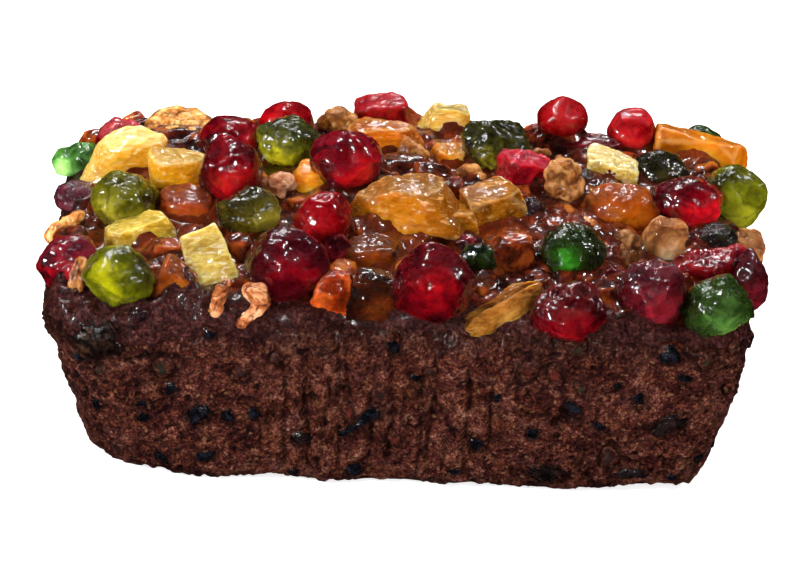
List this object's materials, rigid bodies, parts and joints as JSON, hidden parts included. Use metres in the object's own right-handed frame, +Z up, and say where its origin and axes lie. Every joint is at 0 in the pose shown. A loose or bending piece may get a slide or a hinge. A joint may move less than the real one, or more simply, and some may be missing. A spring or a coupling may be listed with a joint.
{
  "type": "fruit cake loaf",
  "caption": "Dark dense loaf cake with sloping sides and a flat bottom, topped with glossy candied cherries, pineapple, orange, peel and nuts.",
  "frame": {"origin": "centre of the flat bottom, at loaf mid length and mid width", "axes": "+X along the loaf's length, +Z up, the long side that shows faces -Y"},
  "size_m": [0.2046, 0.1114, 0.0856],
  "materials": {
    "crumb": "matte, fine porous dark reddish-brown crumb with embedded dark fruit",
    "cherry_red": "glossy translucent deep red candied cherry",
    "cherry_bright": "glossy translucent bright red candied cherry",
    "cherry_dark": "glossy dark magenta-red candied cherry",
    "cherry_green": "glossy translucent green candied cherry",
    "pineapple": "glossy fibrous yellow candied pineapple",
    "orange": "glossy translucent yellow-orange candied orange",
    "peel": "glossy amber-brown syrup-soaked peel",
    "walnut": "glazed golden-brown walnut, wrinkled",
    "nut_pale": "glazed pale tan nut",
    "raisin": "wrinkled glossy near-black raisin",
    "syrup": "dark amber glossy syrup between the pieces"
  },
  "bodies": {
    "root": {"loaf": "crumb", "cherry_red_01": "cherry_red", "cherry_red_02": "cherry_red", "cherry_red_03": "cherry_red", "cherry_red_04": "cherry_red", "cherry_red_05": "cherry_red", "cherry_red_06": "cherry_bright", "cherry_red_07": "cherry_bright", "cherry_red_08": "cherry_red", "cherry_red_09": "cherry_red", "cherry_red_10": "cherry_red", "cherry_red_11": "cherry_bright", "cherry_red_12": "cherry_red", "cherry_red_13": "cherry_red", "cherry_dark_01": "cherry_dark", "cherry_dark_02": "cherry_dark", "cherry_green_01": "cherry_green", "cherry_green_02": "cherry_green", "cherry_green_03": "cherry_green", "cherry_green_04": "cherry_green", "cherry_green_05": "cherry_green", "cherry_green_06": "cherry_green", "cherry_green_07": "cherry_green", "cherry_green_08": "cherry_green", "cherry_green_09": "cherry_green", "cherry_green_10": "cherry_green", "cherry_green_11": "cherry_green", "cherry_piece_01": "cherry_bright", "cherry_piece_02": "cherry_bright", "cherry_piece_03": "cherry_dark", "cherry_piece_04": "cherry_bright", "orange_01": "orange", "orange_02": "orange", "orange_03": "orange", "orange_04": "orange", "orange_05": "orange", "orange_06": "orange", "pineapple_01": "pineapple", "pineapple_02": "pineapple", "pineapple_03": "pineapple", "pineapple_04": "pineapple", "pineapple_05": "pineapple", "pineapple_06": "pineapple", "peel_01": "peel", "peel_02": "peel", "peel_03": "peel", "peel_04": "peel", "peel_05": "peel", "walnut_01": "walnut", "walnut_02": "walnut", "walnut_03": "walnut", "walnut_04": "walnut", "walnut_05": "walnut", "walnut_06": "walnut", "walnut_07": "nut_pale", "nut_sliver_01": "nut_pale", "nut_piece_01": "nut_pale", "nut_piece_02": "nut_pale", "raisin_01": "raisin", "raisin_02": "raisin"}
  },
  "joints": []
}
